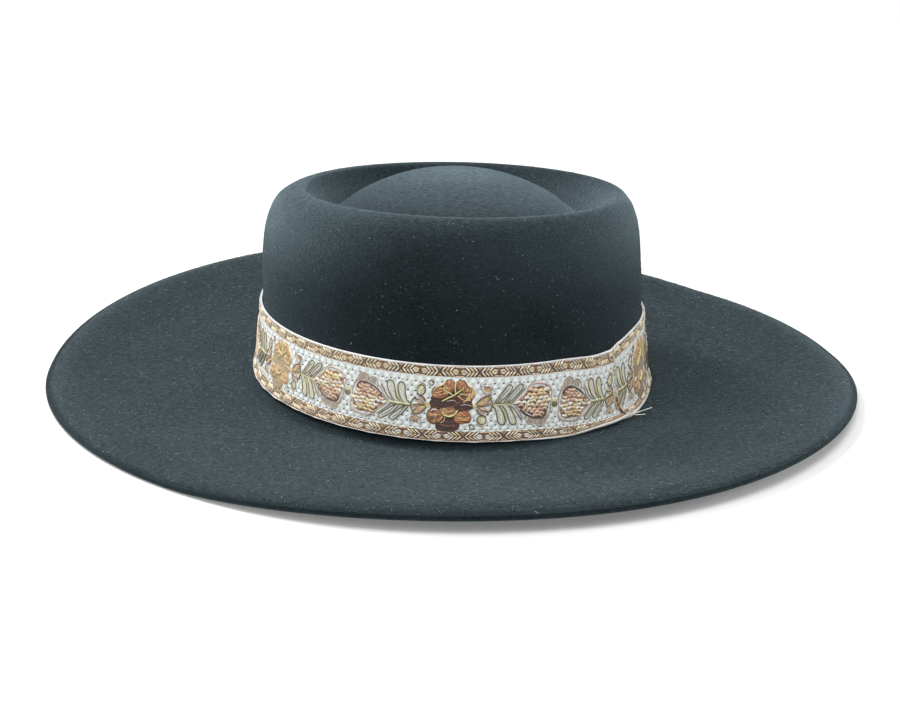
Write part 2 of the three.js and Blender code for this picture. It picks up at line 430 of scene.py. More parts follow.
def felt_body():
    t = np.arange(FELT_SEGMENTS) * 2 * math.pi / FELT_SEGMENTS
    crown = np.linspace(0.0, FOOT_PLACE, FOOT_PLACE * CROWN_STEPS + 1)
    brim = np.linspace(FOOT_PLACE, LAST, (LAST - FOOT_PLACE) * BRIM_STEPS + 1)[1:]
    places = np.concatenate([crown, brim])
    outer = meridian(t[:, None], places[None, :])
    normals = surface_normal(t[:, None], places[None, :])
    inner_places = places[::2]
    inner = outer[:, ::2] - normals[:, ::2] * felt_thickness(inner_places)[None, :, None]
    inner[..., 2] = np.maximum(inner[..., 2], 0)
    top = outer[:, -1]
    low = inner[:, -1]
    middle = (top + low) / 2
    reach = np.stack([BRIM[0] * np.sin(t), -BRIM[1] * np.cos(t), middle[:, 2]], -1)
    turn = np.linspace(0, math.pi, EDGE_STEPS + 2)[1:-1]
    edge = np.stack([middle + (top - middle) * math.cos(a) + (reach - middle) * math.sin(a) for a in turn], 1)
    edge[..., 2] = np.maximum(edge[..., 2], 0)
    profile = np.concatenate([outer[:, 1:], edge, inner[:, :0:-1]], 1)
    rows, columns = profile.shape[:2]
    points = profile.reshape(-1, 3)
    faces = grid_faces(rows, columns, True).tolist()
    tip_out = len(points)
    points = np.vstack([points, outer[0, 0], inner[0, 0]])
    for i in range(rows):
        k = (i + 1) % rows
        faces.append([tip_out, k * columns, i * columns])
        faces.append([tip_out + 1, i * columns + columns - 1, k * columns + columns - 1])
    obj = new_object("felt_body", points, faces, FELT)
    along = np.concatenate([places[1:], np.full(EDGE_STEPS, LAST + 0.5), inner_places[:0:-1]])
    # Painted light and shade: the felt's sheen strength set by place along the meridian
    sheen = np.tile(np.interp(along, *zip(*FELT_SHEEN_PAINTED_BY_PLACE)), rows)
    sheen = np.concatenate([sheen, [FELT_SHEEN_PAINTED_BY_PLACE[0][1]] * 2])
    colour_points(obj, "sheen_painted_by_place", np.stack([sheen] * 3, -1))
    return obj


# Fibres: each is a narrow strip of three quads that leaves the felt and bends over

TRIES = 6


def scatter(count, rng, crown_share):
    """Places spread evenly by area over the outer surface, leaving out what the ribbon covers. crown_share is
    how many of the crown's are kept."""
    dt, dp = 0.01, 0.05
    t = rng.uniform(0, 2 * math.pi, count * TRIES)
    place = rng.uniform(dp, LAST, count * TRIES)
    along = np.linalg.norm(meridian(t + dt, place) - meridian(t, place), axis=-1) / dt
    out = np.linalg.norm(meridian(t, np.minimum(place + dp, LAST)) - meridian(t, place - dp), axis=-1) / dp
    area = along * out
    bare = (place < FOOT_PLACE - 1.02) | (place > FOOT_PLACE + 1)
    wanted = np.where(place < FOOT_PLACE, crown_share, 1.0)
    kept = bare & (rng.random(count * TRIES) < wanted * area / np.quantile(area, 0.98))
    return t[kept][:count], place[kept][:count]


def fibres(name, material, count, length, width, lift, seed, crown_share=1.0):
    """length, width and lift are pairs, the least and the most of each in millimetres."""
    rng = np.random.default_rng(seed)
    t, place = scatter(count, rng, crown_share)
    n = len(t)
    root = meridian(t, place)
    up = surface_normal(t, place)
    side = unit(np.cross(up, rng.normal(size=(n, 3))))
    across = np.cross(up, side)
    reach = rng.uniform(*length, n)[:, None]
    rise = rng.uniform(*lift, n)[:, None]
    bend = rng.uniform(-0.5, 0.5, n)[:, None] * reach
    half = rng.uniform(*width, n)[:, None] / 2
    rows = []
    for w, thin in ((0.0, 1.0), (0.35, 1.0), (0.7, 0.8), (1.0, 0.35)):
        above = rise * math.sin(math.pi * min(w, 0.8)) - 0.03
        middle = root + side * reach * w + across * bend * w * w + up * above
        edge = unit(across * 0.8 + up * 0.6) * half * thin
        rows += [middle - edge, middle + edge]
    points = np.stack(rows, 1).reshape(-1, 3)
    points[:, 2] = np.maximum(points[:, 2], 0.02)
    base = np.arange(n)[:, None] * 8
    faces = np.concatenate([base + np.array([[k, k + 2, k + 3, k + 1]]) for k in (0, 2, 4)])
    obj = new_object(name, points, faces.tolist(), material)
    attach(obj, "root")
    return obj


# The ribbon: a strip bent round the wall, with its cut end over its start

def behind_lap(travelled):
    """Grows from 0 at the lap to 1 a little behind it, and fades out again."""
    past = travelled - LAP_LENGTH
    near = smoothstep(past, 0, 0.25 * LAP_RISE_REACH)
    return near * (1 - smoothstep(past, 0.4 * LAP_RISE_REACH, LAP_RISE_REACH))


def ribbon_point(travelled, share, height):
    """travelled is the angle along the strip from its start, share is 0 at its lower edge and 1 at its
    upper one, and height is in millimetres above its back."""
    turn = 2 * math.pi + LAP_LENGTH
    over = smoothstep(travelled, turn - 2.5 * LAP_LENGTH, turn - LAP_LENGTH)
    angle = LAP_ANGLE - LAP_LENGTH + travelled
    from_lap = np.minimum(np.abs(angle - LAP_ANGLE), np.abs(angle - LAP_ANGLE - 2 * math.pi))
    sag = 1 - smoothstep(from_lap, 0, LAP_REACH)
    tuck = LAP_TUCK * (1 - smoothstep(travelled, 0.8 * LAP_LENGTH, 1.4 * LAP_LENGTH))
    low = tuck - LAP_SAG_LOW * sag
    top_sag = LAP_SAG_TOP_UNDER + (LAP_SAG_TOP_OVER - LAP_SAG_TOP_UNDER) * over
    high = RIBBON_WIDTH - top_sag * sag - tuck + LAP_RISE * behind_lap(travelled)
    rise = low + (high - low) * share
    offset = RIBBON_GAP + height + over * (RIBBON_THICKNESS + RIBBON_GAP)
    return wall(angle, rise) + wall_normal(angle, rise) * offset[..., None]


# The woven ground's thickness, below the raised threads
RIBBON_BASE = 0.62
STRIP_START = LAP_ANGLE - LAP_LENGTH - 2 * math.pi
STRIP_END = LAP_ANGLE + math.radians(4)


def strip_lengths():
    """Angles along the strip from its start, and the length in millimetres at each, 0 at the front."""
    angle = np.linspace(STRIP_START, STRIP_END, 2000)
    travelled = angle - STRIP_START
    line = ribbon_point(travelled, np.full(2000, 0.5), np.full(2000, RIBBON_BASE))
    step = np.linalg.norm(np.diff(line, axis=0), axis=1)
    length = np.concatenate([[0], np.cumsum(step)])
    return travelled, length - np.interp(0, angle, length)


TRAVELLED, LENGTHS = strip_lengths()

# The cut end is ragged and leans: v up from the lower edge, and u where the strip ends there
CUT_V = (0, 2, 4, 6, 8, 9.4, 11, 13.5, 16, 19, 21.5, 23, 26, 28.5, 31)
CUT_U = (89, 88.2, 87.3, 86.9, 86, 85.5, 84.1, 83.2, 83.3, 82.5, 83.4, 83, 83.8, 82.3, 81.4)


def cut_end(v):
    return np.interp(v, CUT_V, CUT_U)


def on_ribbon(u, v, height):
    """u is in millimetres along the strip, 0 at the front and growing towards the cut end, v in millimetres
    up from its lower edge and height in millimetres above the woven ground."""
    travelled = np.interp(u, LENGTHS, TRAVELLED)
    return ribbon_point(travelled, np.asarray(v) / STRIP_WIDTH, RIBBON_BASE + np.asarray(height))


def ribbon_body():
    columns = 900
    rows = 31
    lean_reach = 15
    u = np.linspace(LENGTHS[0], CUT_U[0], columns + 1)
    v = np.linspace(0, STRIP_WIDTH, rows + 1)
    ring_v = np.concatenate([v, v[::-1]])
    ring_h = np.concatenate([np.zeros(rows + 1), np.full(rows + 1, -RIBBON_BASE)])
    n = len(ring_v)
    grid_u, grid_v = np.meshgrid(u, ring_v, indexing="ij")
    near_end = np.clip((grid_u - CUT_U[0] + lean_reach) / lean_reach, 0, 1)
    grid_u = grid_u + (cut_end(grid_v) - CUT_U[0]) * near_end
    grid = on_ribbon(grid_u, grid_v, np.broadcast_to(ring_h, grid_u.shape))
    faces = grid_faces(columns + 1, n, False).tolist()
    for i in range(columns):
        faces.append([i * n + n - 1, (i + 1) * n + n - 1, (i + 1) * n, i * n])
    for i in (0, columns):
        for j in range(rows):
            quad = [i * n + j, i * n + j + 1, i * n + n - 2 - j, i * n + n - 1 - j]
            faces.append(quad if i == 0 else quad[::-1])
    obj = new_object("ribbon", grid.reshape(-1, 3), faces, RIBBON, smooth=False)
    layer = obj.data.uv_layers.new(name="strip")
    corner = np.zeros(len(obj.data.loops), np.int32)
    obj.data.loops.foreach_get("vertex_index", corner)
    uv = np.stack([stretched(grid_u, REPEAT_BEHIND, REPEAT).ravel(), grid_v.ravel()], -1)
    layer.data.foreach_set("uv", uv[corner].astype(np.float32).ravel())
    return obj


# Raised threads. Each is a low ridge on the ground: points (u, v, height), faces, and one colour.

class Threads:
    def __init__(self):
        self.parts = []
        self.count = 0

    def add(self, sections, colour, sheen_part=1.0):
        """sections is an array (sections, across, 3) of the thread's cross sections. The last argument is how
        much of the strip's painted sheen the thread takes."""
        n, across = sections.shape[:2]
        size = n * across
        faces = grid_faces(n, across, False) + self.count
        each = [np.full(size, len(self.parts)), np.full(size, sheen_part)]
        self.parts.append([sections.reshape(-1, 3), faces, np.tile(colour, (size, 1)), *each])
        self.count += size

    def arrays(self):
        """Of all the threads: the points, faces and colours, and each point's thread and share of the painted
        sheen.
        """
        return [np.concatenate(part) for part in zip(*self.parts)]


def smooth_path(points, step):
    """A curve through the points, with a point about every step."""
    p = np.asarray(points, float)
    if len(p) == 2:
        n = max(2, int(np.linalg.norm(p[1] - p[0]) / step) + 1)
        return p[0] + (p[1] - p[0]) * np.linspace(0, 1, n)[:, None]
    ends = np.vstack([2 * p[0] - p[1], p, 2 * p[-1] - p[-2]])
    out = []
    for a, b, c, d in zip(ends, ends[1:], ends[2:], ends[3:]):
        n = max(2, int(np.linalg.norm(c - b) / step) + 1)
        w = np.linspace(0, 1, n, endpoint=False)[:, None]
        out.append(0.5 * (2 * b + (c - a) * w + (2 * a - 5 * b + 4 * c - d) * w ** 2
                          + (3 * b - a - 3 * c + d) * w ** 3))
    return np.vstack(out + [p[-1:]])


def lay_line(threads, points, width, height, colour, step=0.8, base=0.0):
    """A thread along a smooth path, rounded across and tapering at its ends."""
    path = smooth_path(points, step)
    if len(path) < 3:
        path = np.vstack([path[0], path.mean(0), path[-1]])
    ahead = np.gradient(path, axis=0)
    side = unit(np.stack([-ahead[:, 1], ahead[:, 0]], -1))
    taper = np.ones(len(path))
    taper[[0, -1]] = 0.45
    across = np.array([-0.5, -0.22, 0.22, 0.5])
    lift = np.array([0, 1, 1, 0])
    plan = path[:, None, :] + side[:, None, :] * (across * width)[None, :, None] * taper[:, None, None]
    rise = base + (height * taper)[:, None] * lift[None, :]
    threads.add(np.concatenate([plan, rise[..., None]], -1), colour, 0.4)


def to_outline(points, outline):
    """The distance from each point to the outline."""
    a = outline
    ab = np.roll(outline, -1, 0) - a
    ap = points[:, None, :] - a[None]
    w = np.clip((ap * ab).sum(-1) / np.maximum((ab * ab).sum(-1), 1e-9), 0, 1)
    return np.linalg.norm(ap - ab * w[..., None], axis=-1).min(1)


def fill_form(threads, outline, turn, height, colours, rng, pitch=0.46, base=0.0):
    """Satin threads side by side within an outline, along the direction turn in degrees. colours is the main
    colour, the flecks' colour and their share."""
    main, fleck, share = colours
    outline = np.asarray(outline, float)
    a = math.radians(turn)
    spin = np.array([[math.cos(a), -math.sin(a)], [math.sin(a), math.cos(a)]])
    flat = outline @ spin
    ahead = np.roll(flat, -1, 0)
    low, high = flat[:, 1].min(), flat[:, 1].max()
    for y in np.arange(low + pitch * 0.4, high, pitch):
        cuts = (flat[:, 1] <= y) != (ahead[:, 1] <= y)
        p, q = flat[cuts], ahead[cuts]
        xs = np.sort(p[:, 0] + (y - p[:, 1]) / (q[:, 1] - p[:, 1]) * (q[:, 0] - p[:, 0]))
        for x0, x1 in zip(xs[::2], xs[1::2]):
            if x1 - x0 < 0.3:
                continue
            parts = max(1, int((x1 - x0) / 2.6 + rng.random() * 0.8))
            stops = np.linspace(x0, x1, parts + 1)
            stops[1:-1] += rng.uniform(-0.5, 0.5, parts - 1)
            for s0, s1 in zip(stops, stops[1:]):
                inset = min(0.35, (s1 - s0) * 0.3)
                along = np.array([s0, s0 + inset, s1 - inset, s1])
                middle = np.stack([along, np.full(4, y)], -1)
                dome = 0.4 + 0.6 * np.sqrt(np.clip(to_outline(middle @ spin.T, outline) / 1.3, 0, 1))
                dip = np.array([0.72, 1, 1, 0.72])
                ridge = base + height * dome * dip * rng.uniform(0.88, 1.08)
                plan = middle[:, None, :] + np.array([[0, -0.6], [0, 0], [0, 0.6]]) * pitch
                rise = ridge[:, None] - np.array([0.16, 0, 0.16])
                colour = fleck if rng.random() < share else main
                sections = np.concatenate([plan @ spin.T, np.maximum(rise, 0.01)[..., None]], -1)
                threads.add(sections, thread_colour(colour, rng.uniform(0.8, 1.2)))


def oval(u, v, long, wide, turn=0.0, lobes=24):
    a = np.linspace(0, 2 * math.pi, lobes, endpoint=False)
    c, s = math.cos(math.radians(turn)), math.sin(math.radians(turn))
    x, y = long * np.cos(a), wide * np.sin(a)
    return np.stack([u + x * c - y * s, v + x * s + y * c], -1)


def spindle(p, q, wide):
    """A slim leaf from p to q."""
    p, q = np.asarray(p, float), np.asarray(q, float)
    side = unit(np.array([-(q - p)[1], (q - p)[0]]))
    w = np.linspace(0, 1, 9)
    bulge = np.sin(math.pi * w) ** 0.7 * wide / 2
    one = p + (q - p) * w[:, None] + side * bulge[:, None]
    two = p + (q - p) * w[::-1, None] - side * bulge[::-1, None]
    return np.vstack([one, two[1:-1]])


def closed_curve(points, step=0.7):
    p = np.asarray(points, float)
    return smooth_path(np.vstack([p, p[:1]]), step)[:-1]


# The repeat, charted in millimetres: u from the middle of a flower and v from the lower edge.
# Half of it is charted, and the other half is the same turned half round the flower.

# outline, thread direction in degrees, height, colour, fleck colour, fleck share
FLOWER_EDGE = (
    (-10.4, 12), (-8.6, 9.6), (-6.8, 9), (-6.4, 7), (-3.6, 6.2), (0.4, 6.4), (2.8, 8.2), (3.4, 9.8),
    (6.8, 10.2), (8.2, 12.4), (7, 14.4), (8.4, 15.3), (9.2, 16.4), (8.4, 17.5), (8.8, 19), (9.8, 21),
    (8.8, 22.6), (6.8, 23.4), (5.8, 25.1), (3.6, 25.4), (1.9, 24.6), (0.4, 25.5), (-1.8, 25.3), (-3.2, 23.4),
    (-6.8, 22.6), (-8.4, 20.6), (-7.8, 18.6), (-9.3, 17), (-8.4, 15.4), (-9.6, 14),
)

FLOWER_PETALS = (
    (FLOWER_EDGE, 6, 0.22, DARK_BROWN, BROWN, 0.4),
    (oval(-6.8, 12, 3.5, 2.7, 25), 25, 0.6, COPPER, BROWN, 0.4),
    (oval(-2, 8.9, 4.6, 2.4, -4), 5, 0.4, PLUM, DARK_BROWN, 0.35),
    (oval(4.5, 12.2, 3.5, 2.2, 12), -15, 0.62, RUST, LIGHT_COPPER, 0.3),
    (oval(-4.8, 20.7, 3.4, 1.8, 12), 15, 0.6, COPPER, LIGHT_COPPER, 0.3),
    (oval(-0.7, 23.2, 2.4, 2, 50), 80, 0.62, COPPER, LIGHT_COPPER, 0.3),
    (oval(4.2, 23.1, 2.4, 2, -30), 95, 0.62, COPPER, LIGHT_COPPER, 0.3),
    (oval(7.2, 21, 2.5, 1.9, -20), 60, 0.6, COPPER, GOLD, 0.22),
    (oval(5.4, 18.9, 2.8, 1.4, -5), 30, 0.5, BROWN, GOLD, 0.35),
    (oval(-6, 18.7, 2.7, 1.1, 5), 5, 0.32, DARK_BROWN, PLUM, 0.3),
    (oval(-3.3, 17, 5.6, 1.3, 3), 4, 0.34, DARK_BROWN, PLUM, 0.35),
    (oval(0.8, 18.4, 2.6, 1.2, 22), 25, 0.36, DARK_BROWN, BROWN, 0.3),
    (spindle((2.6, 16.6), (9.3, 16.3), 2.7), 0, 0.36, PLUM, DARK_BROWN, 0.25),
    (oval(-1.6, 14.2, 3.8, 1.6, 8), 12, 0.5, COPPER, GOLD, 0.25),
)

# path, width, height, colour
FLOWER_LINES = (
    (((-3.9, 17.8), (-1.2, 19.2), (0.6, 19.9), (3.4, 21.4), (5.6, 22.8)), 0.55, 0.62, BRIGHT_GOLD),
    (((1.7, 20.6), (1.5, 22.6), (2.1, 25.2)), 0.6, 0.6, BRIGHT_GOLD),
    (((0.4, 20.2), (-1.2, 21), (-2.6, 21.4), (-2.9, 23.4)), 0.5, 0.58, BRIGHT_GOLD),
    (((-1.6, 20), (-2.2, 20.7), (-3.6, 20.9)), 0.45, 0.55, GOLD),
    (((-7.9, 20.6), (-6.4, 22.3), (-3.4, 23.6), (-2, 25.2)), 0.45, 0.4, GOLD),
    (((3.2, 20.6), (5, 20.3), (6.6, 20.4)), 0.45, 0.52, BRIGHT_GOLD),
    (((2.4, 20), (3.6, 19.2), (5.6, 18.3), (8, 18.6)), 0.45, 0.5, GOLD),
    (((6.3, 25), (7, 23.5), (8.4, 22.6), (9.6, 21.4), (9.5, 19.9)), 0.45, 0.4, GOLD),
    (((-2, 18), (0.2, 18.4), (1.9, 18.1)), 0.5, 0.5, LILAC_GREY),
    (((-3.6, 14.6), (-2.8, 13), (-0.6, 12.6), (1.4, 13.4), (2.8, 15)), 0.7, 0.66, BRIGHT_GOLD),
    (((-2.9, 15), (-0.9, 14.4), (1, 14.9)), 0.5, 0.58, GOLD),
    (((-3.2, 12.8), (-4.4, 11.2), (-6, 10)), 0.5, 0.58, GOLD),
    (((-2.6, 12.4), (-3, 10.9), (-4.6, 9.8)), 0.45, 0.52, GOLD),
    (((-4, 13.4), (-5.6, 12.9), (-7.6, 13.4)), 0.45, 0.56, GOLD),
    (((-8.6, 13.9), (-7.2, 14.7), (-5.6, 14.6)), 0.5, 0.5, CREAM),
    (((-9.9, 11.6), (-8.4, 10.2), (-6.4, 9.7), (-4.6, 10.5)), 0.5, 0.36, DARK_BROWN),
    (((2, 13.3), (4.6, 12.7), (7.2, 13)), 0.45, 0.72, BROWN),
    (((2.2, 11.6), (4.4, 11.2), (7, 11.4)), 0.45, 0.7, LIGHT_COPPER),
    (((-9.4, 12.2), (-7.6, 11.4), (-5.2, 11.9)), 0.45, 0.72, DARK_BROWN),
    (((-9.2, 13.2), (-7.4, 12.6), (-5, 13)), 0.4, 0.72, GOLD),
    (((-7.4, 20.2), (-5, 20.6), (-2.4, 21.8)), 0.4, 0.7, BROWN),
    (((-1.6, 24.6), (-0.9, 23.2), (0.2, 21.8)), 0.4, 0.74, RUST),
    (((5.2, 24.6), (4.2, 23.2), (3, 21.9)), 0.4, 0.74, RUST),
    (((8.8, 21.8), (7.2, 21.2), (5.4, 20.9)), 0.4, 0.72, BROWN),
    (((-4.6, 9.4), (-2, 8.8), (1.4, 9.2)), 0.4, 0.5, COPPER),
    (((3.8, 16.6), (6.2, 16.9), (8.6, 16.4)), 0.4, 0.5, LILAC_GREY),
    (((-5.6, 10), (-6.4, 8.2), (-4.4, 6.8), (-1, 6.4), (2, 7.4), (3.2, 9.2)), 0.5, 0.34, DARK_BROWN),
)

BUD_EDGE = (
    (26.6, 17.1), (29.7, 19), (33.5, 21.3), (36.8, 22.2), (40.1, 22.3), (42.4, 21.1), (43.2, 19),
    (42.6, 16.4), (41.4, 14), (39.2, 12.4), (36.3, 11.7), (33.5, 12.9), (30.6, 14.4), (28.1, 15.7),
)

HALF_FORMS = (
    (oval(9.6, 16.4, 0.9, 0.8), 0, 0.45, GOLD, BRIGHT_GOLD, 0.5),
    (spindle((10.2, 16.7), (16.6, 19.9), 1.7), 28, 0.36, TAN, GOLD, 0.3),
    (spindle((10.6, 16.6), (17, 17.9), 1.5), 12, 0.38, TAN, CREAM, 0.3),
    (spindle((10.6, 16), (15.6, 14.7), 1.4), -15, 0.38, CREAM, TAN, 0.4),
    (spindle((10.4, 15.4), (14.2, 13), 1.2), -35, 0.34, TAN, LILAC, 0.3),
    (oval(12.4, 11.4, 1.6, 1.5), 40, 0.34, CREAM, LEAF_GOLD, 0.35),
    (oval(14.9, 22.2, 1.6, 0.8, -15), -15, 0.34, PINK, GOLD, 0.35),
    (((18.2, 17.6), (19.3, 17.3), (22.4, 19.6), (25.6, 22.4), (25.2, 23.4), (23.9, 23.3), (21, 20.8)),
     40, 0.22, LEAF, LEAF_LINE, 0.12),
    (((22, 17.5), (23.2, 17.2), (26.6, 19.5), (30.2, 22.4), (29.9, 23.3), (28.6, 23.2), (25.2, 20.6)),
     38, 0.22, LEAF, LEAF_LINE, 0.12),
    (((25.4, 17.3), (26.6, 17.2), (29.6, 19), (32, 20.9), (31.4, 21.6), (28.8, 19.9)),
     35, 0.2, LEAF, LILAC, 0.25),
    (((17.3, 16.4), (19.8, 16.2), (21.6, 13.4), (22, 10.6), (20.7, 9.5), (19.3, 10.4), (18.9, 13.2)),
     -80, 0.26, LEAF, LEAF_GOLD, 0.2),
    (((21.4, 16.3), (23.6, 16.2), (25.9, 13.6), (27, 10.7), (25.6, 9.5), (24.2, 10.2), (23.4, 13.2)),
     -78, 0.26, LEAF, LEAF_GOLD, 0.15),
    (((24.2, 16.3), (26.4, 16.2), (28.2, 14.2), (29.8, 11.4), (28.9, 11), (27.4, 13.2)),
     -62, 0.2, LEAF, LILAC, 0.25),
    # The bud's brown base shows in the gaps between the knots laid on it: partly its own brown, partly
    # painted shade
    (BUD_EDGE, 14, 0.26, BROWN, PINK, 0.35),
    (((31, 12.6), (33.2, 11.4), (35, 11), (34.6, 9), (32.6, 9.4), (31.2, 10.8)),
     70, 0.22, LILAC_GREY, LEAF, 0.3),
    (((35.2, 10.9), (38, 10.8), (40, 11.8), (40.6, 10.8), (39.4, 9), (37.2, 8.5), (35.4, 9.2)),
     80, 0.22, LILAC_GREY, LILAC, 0.35),
    (((40.4, 12.2), (41.6, 14), (42.8, 14.2), (42.6, 12), (41.2, 10.6)), 60, 0.22, LILAC, LEAF, 0.3),
)

HALF_LINES = (
    (((10.2, 17), (12.6, 19.4), (16.8, 20.4)), 0.5, 0.36, BROWN),
    (((10.4, 16.8), (13.4, 17), (16.8, 19.6)), 0.4, 0.38, OLIVE),
    (((10.6, 16.2), (13, 15), (15.8, 14.5)), 0.45, 0.38, DARK_BROWN),
    (((10.4, 15.6), (11.4, 13.9), (14.4, 12.8)), 0.45, 0.36, DARK_BROWN),
    (((10.6, 16.6), (13.6, 16.5), (16.6, 17.1)), 0.45, 0.4, BROWN),
    (((13.8, 20.4), (15.8, 19.4), (17, 17.4), (16.4, 15.4), (14.6, 13.8)), 0.5, 0.36, OLIVE),
    (((12.2, 24.4), (12.4, 22.6), (13.6, 21.2), (15.2, 20.8), (16.9, 21.6), (17.2, 23)), 0.55, 0.3,
     LILAC_GREY),
    (((13.4, 23.6), (14.4, 22.9), (15.6, 23), (16.6, 22)), 0.5, 0.42, BROWN),
    (((17.2, 23.4), (16.4, 22.6), (15.2, 22)), 0.45, 0.4, LILAC),
    (((14.2, 11.4), (13.6, 13), (12, 13.2), (10.7, 12.2), (10.6, 10.8), (11.6, 9.8), (13.2, 10),
      (14.2, 11.2)), 0.5, 0.32, LEAF_LINE),
    (((10.4, 11.2), (11.4, 10.9), (12.2, 11.9)), 0.5, 0.4, PINK),
    (((10.2, 9.9), (11.4, 9.2), (12.8, 9.1)), 0.6, 0.3, PINK),
    (((9.2, 8.6), (8.4, 9.6), (7.3, 9), (7.4, 7.9), (8.5, 7.6), (9.2, 8.5)), 0.45, 0.26, LEAF_LINE),
    (((16.8, 16.9), (19.4, 16.7), (23, 16.9), (27, 16.9)), 0.5, 0.34, LEAF_GOLD),
    (((17, 17.3), (20, 17.2), (23.2, 17.4), (26, 17.3)), 0.4, 0.36, OLIVE),
    (((18, 17.5), (20.8, 20.6), (23.5, 23.1), (24.8, 23.6), (25.9, 22.9), (25.3, 21.8), (22.4, 19.3),
      (19.4, 17.2)), 0.5, 0.34, LEAF_LINE),
    (((20, 18.6), (22.2, 20.8), (24.6, 22.6)), 0.35, 0.3, LEAF_LINE),
    (((21.8, 17.5), (24.8, 20.4), (28.4, 23.1), (29.8, 23.6), (30.6, 22.8), (29.9, 21.8), (26.4, 19.2),
      (23.2, 17.1)), 0.5, 0.34, LEAF_LINE),
    (((24, 18.5), (26.6, 20.7), (29.2, 22.6)), 0.35, 0.3, LEAF_LINE),
    (((25.2, 17.3), (28.4, 19.8), (31.6, 22.2)), 0.45, 0.3, LEAF_LINE),
    (((27, 17.6), (30, 19.4), (33.4, 21.9)), 0.4, 0.28, LILAC),
    (((17, 16.5), (18.4, 15.2), (19, 12.8), (19.1, 10.8), (19.9, 9.6), (21.2, 9.4), (22.1, 10.4),
      (21.9, 12.8), (21, 15), (19.6, 16.6)), 0.5, 0.36, LEAF_LINE),
    (((21, 16.4), (22.8, 14.6), (23.5, 12.4), (24, 10.4), (25, 9.4), (26.4, 9.6), (27.1, 10.7),
      (26.4, 12.8), (25.3, 14.8), (23.4, 16.5)), 0.5, 0.36, LEAF_LINE),
    (((20.6, 16), (22.2, 14), (22.6, 11.6), (22.9, 10.4)), 0.6, 0.3, LEAF_GOLD),
    (((24.4, 16.4), (26.9, 15), (28.2, 12.8), (29.8, 11)), 0.45, 0.32, LEAF_LINE),
    (((26, 16.7), (28.4, 14.8), (29.6, 12.4), (30.6, 11.6)), 0.4, 0.28, LILAC_GREY),
    (((29, 14.9), (31.8, 12.8), (35.5, 11.5), (39.2, 11.7), (41.2, 13.6)), 0.75, 0.46, DARK_BROWN),
    (((32.6, 21), (35.4, 23.2), (38.8, 23.4), (42.4, 22.6), (44.2, 20.3), (43.2, 17.3)), 0.85, 0.3, LILAC),
    (((31.4, 20.4), (33.6, 22.9), (37, 24.4)), 0.4, 0.24, LILAC_GREY),
    (((43.6, 17.6), (43.2, 14.6), (41.6, 12.2), (39.6, 10.4)), 0.5, 0.26, LILAC_GREY),
    (((30.8, 12.2), (31.4, 10), (33, 9), (34.8, 9.4), (35.2, 10.6)), 0.4, 0.28, LILAC_GREY),
    (((35.2, 10.4), (36, 8.6), (38, 8.2), (40, 9.2), (40.6, 11)), 0.4, 0.28, LILAC_GREY),
)

DOT_FORMS = (
    (oval(45.3, 16.2, 1.6, 1), 0, 0.42, OLIVE, BROWN, 0.2),
    (oval(45.2, 17.5, 1.5, 0.5), 0, 0.3, LEAF_GOLD, LEAF, 0.3),
)


def inside(outline, p):
    """Whether each point lies within the outline."""
    ahead = np.roll(outline, -1, 0)
    above = (outline[None, :, 1] > p[:, 1:]) != (ahead[None, :, 1] > p[:, 1:])
    rise = ahead[:, 1] - outline[:, 1]
    rise = np.where(np.abs(rise) < 1e-9, 1e-9, rise)
    cut = outline[:, 0] + (p[:, 1:] - outline[:, 1]) / rise * (ahead[:, 0] - outline[:, 0])
    return (above & (p[:, :1] < cut)).sum(1) % 2 == 1


KNOT_LENGTH = 2.3
KNOT_ROW = 1.25


def knot_rows(threads, outline, rng):
    """Rows of looped knots like scales, golden and cream above and browner below."""
    outline = closed_curve(outline)
    for row, v in enumerate(np.arange(outline[:, 1].min() + 0.5, outline[:, 1].max(), KNOT_ROW)):
        for u in np.arange(26.3 + KNOT_LENGTH / 2 * (row % 2), 44, KNOT_LENGTH):
            place = np.array([[u, v]]) + rng.uniform(-0.3, 0.3, (1, 2))
            if not inside(outline, place)[0] or to_outline(place, outline)[0] < 0.4:
                continue
            a, b = place[0]
            tilt = rng.uniform(-0.45, 0.35)
            golden = rng.random() < 0.1 + 0.85 * smoothstep(b, 13, 18)
            pair = (CREAM, KNOT_GOLD) if golden else (PINK, KNOT_PINK)
            colour = pair[int(rng.random() < 0.5)]
            path = ((a - 1.25, b - 0.35 - tilt), (a, b + 0.35), (a + 1.2, b - 0.3 + tilt))
            lay_line(threads, path, 1.12, 0.5, thread_colour(colour, rng.uniform(0.88, 1.08)), base=0.2)


def glints(threads, outline, turn, height, rng):
    """Fine bright threads that run with a petal's satin and break off at random: partly gold thread, partly
    painted highlight on the petal.
    """
    a = math.radians(turn)
    ahead, side = np.array([math.cos(a), math.sin(a)]), np.array([-math.sin(a), math.cos(a)])
    middle = outline.mean(0)
    across = np.abs((outline - middle) @ side).max()
    along = np.abs((outline - middle) @ ahead).max()
    for offset in np.arange(-across * 0.8, across * 0.8, 0.62):
        start = middle + side * offset + ahead * rng.uniform(-0.85, 0.1) * along
        bend = side * rng.uniform(-0.35, 0.35)
        reach = ahead * rng.uniform(0.9, 2.4)
        path = np.array([start, start + reach * 0.5 + bend, start + reach])
        if not inside(outline, path).all():
            continue
        colour = (BRIGHT_GOLD, GOLD, LIGHT_COPPER, GOLD)[int(rng.integers(4))]
        lay_line(threads, path, 0.3, 0.14, thread_colour(colour, rng.uniform(0.9, 1.1)), 0.6, height * 0.86)


